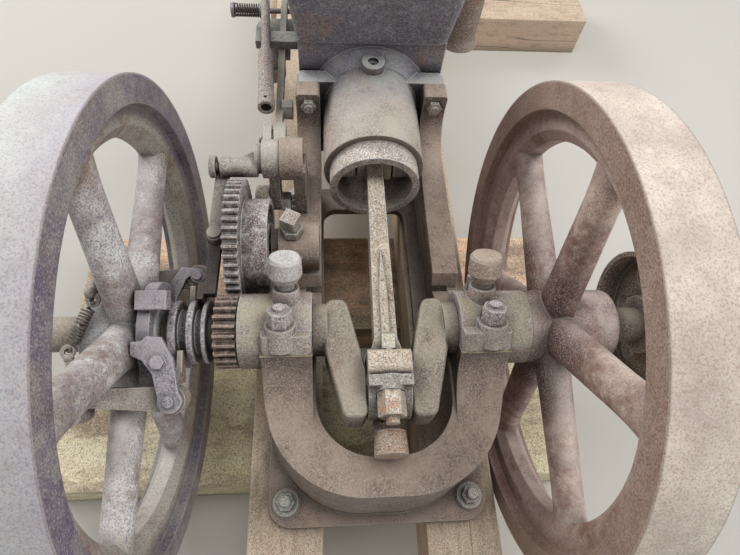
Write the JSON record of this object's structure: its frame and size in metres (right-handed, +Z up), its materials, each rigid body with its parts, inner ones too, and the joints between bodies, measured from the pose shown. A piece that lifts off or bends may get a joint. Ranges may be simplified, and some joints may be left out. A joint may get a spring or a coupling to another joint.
{
  "type": "stationary gas engine",
  "caption": "Horizontal hopper-cooled single-cylinder gas engine with two spoked flywheels, governor, timing gears and belt pulley, on timber skids.",
  "frame": {"origin": "on the ground under the front cross timber, below the crankshaft's axis in the cylinder's centre plane", "axes": "+X along the crankshaft away from the timing gears, towards the belt pulley; +Y from the crankshaft towards the cylinder head, along the skids; +Z up"},
  "size_m": [1.035, 1.395, 0.624],
  "materials": {
    "casting": "weathered paint, matt",
    "rusted_iron": "rusted, matt",
    "wheel_paint": "weathered paint, matt",
    "bare_steel": "dull, stained",
    "rusted_steel": "light rust",
    "zinc_fastener": "zinc plated",
    "cup_iron": "worn, matt",
    "skid_timber": "weathered",
    "plank_timber": "weathered softwood"
  },
  "bodies": {
    "frame": {"skid_left": "skid_timber", "skid_right": "skid_timber", "cross_timber_front": "plank_timber", "cross_timber_middle": "plank_timber", "cross_timber_rear": "plank_timber", "base_frame": "casting", "bearing_cap_left": "casting", "bearing_cap_right": "casting", "bearing_studs": "rusted_steel", "grease_cup_left": "cup_iron", "grease_cup_right": "cup_iron", "cylinder_hopper": "casting", "flange_studs": "zinc_fastener", "cylinder_head": "rusted_iron", "head_studs": "rusted_steel", "exhaust_spring": "bare_steel", "intake_spring": "bare_steel", "rocker_bracket": "rusted_iron", "mixer": "rusted_iron", "exhaust_elbow": "rusted_iron", "igniter": "rusted_iron", "piston": "bare_steel", "wrist_pin": "bare_steel", "connecting_rod": "rusted_steel", "rod_cap": "cup_iron", "rod_bolts": "rusted_steel", "crank_grease_cup": "cup_iron", "crankshaft": "rusted_steel", "crank_pinion": "rusted_iron", "cam_gear": "rusted_iron", "cam_stud": "rusted_steel", "flywheel_left": "wheel_paint", "flywheel_right": "wheel_paint", "belt_pulley": "rusted_iron", "governor_bracket": "rusted_iron", "pivot_stud": "rusted_steel", "lever_bracket": "rusted_iron", "rod_guide": "rusted_iron", "base_bolts": "zinc_fastener"},
    "spool": {"governor_spool": "rusted_steel"},
    "weight_lower": {"governor_weight_lower": "rusted_iron"},
    "weight_upper": {"governor_weight_upper": "rusted_iron"},
    "detent": {"governor_lever": "rusted_iron"},
    "follower": {"follower_arm": "rusted_iron"},
    "roller": {"cam_roller": "rusted_steel"},
    "pushrod": {"pushrod": "rusted_steel"},
    "rocker": {"rocker_arm": "rusted_iron"},
    "exhaust_valve": {"exhaust_valve": "bare_steel"},
    "intake_valve": {"intake_valve": "bare_steel"},
    "trip_rod": {"trip_rod": "rusted_steel"}
  },
  "joints": [
    {"name": "governor_slide", "type": "slide", "parent": "frame", "child": "spool", "axis": [1, 0, 0], "range_m": [-0.004, 0], "stiffness_N_per_m": 800, "springref_m": 0.004},
    {"name": "lower_weight_swing", "type": "hinge", "parent": "frame", "child": "weight_lower", "pos_m": [-0.205, -0.07741, 0.39182], "axis": [0, -0.3859, 0.9225], "range_deg": [0, 6.68]},
    {"name": "upper_weight_swing", "type": "hinge", "parent": "frame", "child": "weight_upper", "pos_m": [-0.205, 0.07741, 0.34819], "axis": [0, 0.3859, -0.9225], "range_deg": [0, 6.68]},
    {"name": "detent_swing", "type": "hinge", "parent": "frame", "child": "detent", "pos_m": [-0.1805, 0.098, 0.395], "axis": [0, 0, 1], "range_deg": [-3.34, 0]},
    {"name": "follower_swing", "type": "hinge", "parent": "frame", "child": "follower", "pos_m": [-0.118, 0.192, 0.42], "axis": [1, 0, 0], "range_deg": [0, 5.3], "stiffness_Nm_per_rad": 10, "springref_deg": -14.32},
    {"name": "roller_spin", "type": "hinge", "parent": "follower", "child": "roller", "pos_m": [-0.137, 0.17899, 0.3563], "axis": [1, 0, 0], "continuous": true},
    {"name": "pushrod_slide", "type": "slide", "parent": "frame", "child": "pushrod", "axis": [0, 1, 0], "range_m": [0, 0.00472]},
    {"name": "rocker_swing", "type": "hinge", "parent": "frame", "child": "rocker", "pos_m": [-0.078, 0.649, 0.37], "axis": [0, 0, 1], "range_deg": [-6.21, 0]},
    {"name": "exhaust_valve_slide", "type": "slide", "parent": "frame", "child": "exhaust_valve", "axis": [0, -1, 0], "range_m": [0, 0.00521], "deforming": ["exhaust_spring"]},
    {"name": "intake_valve_slide", "type": "slide", "parent": "frame", "child": "intake_valve", "axis": [0, -1, 0], "range_m": [0, 0.005], "stiffness_N_per_m": 600, "springref_m": -0.008, "deforming": ["intake_spring"]},
    {"name": "trip_rod_slide", "type": "slide", "parent": "frame", "child": "trip_rod", "axis": [-0.0493, 0.9988, 0], "range_m": [0, 0.006], "stiffness_N_per_m": 600, "springref_m": -0.008}
  ],
  "couplings": [
    {"joint": "lower_weight_swing", "follows": "governor_slide", "rad_per_m": -28.571},
    {"joint": "upper_weight_swing", "follows": "governor_slide", "rad_per_m": -28.571},
    {"joint": "detent_swing", "follows": "governor_slide", "rad_per_m": 14.286},
    {"joint": "pushrod_slide", "follows": "follower_swing", "m_per_rad": 0.05},
    {"joint": "rocker_swing", "follows": "follower_swing", "ratio": -1.1494},
    {"joint": "exhaust_valve_slide", "follows": "follower_swing", "m_per_rad": 0.055172}
  ]
}
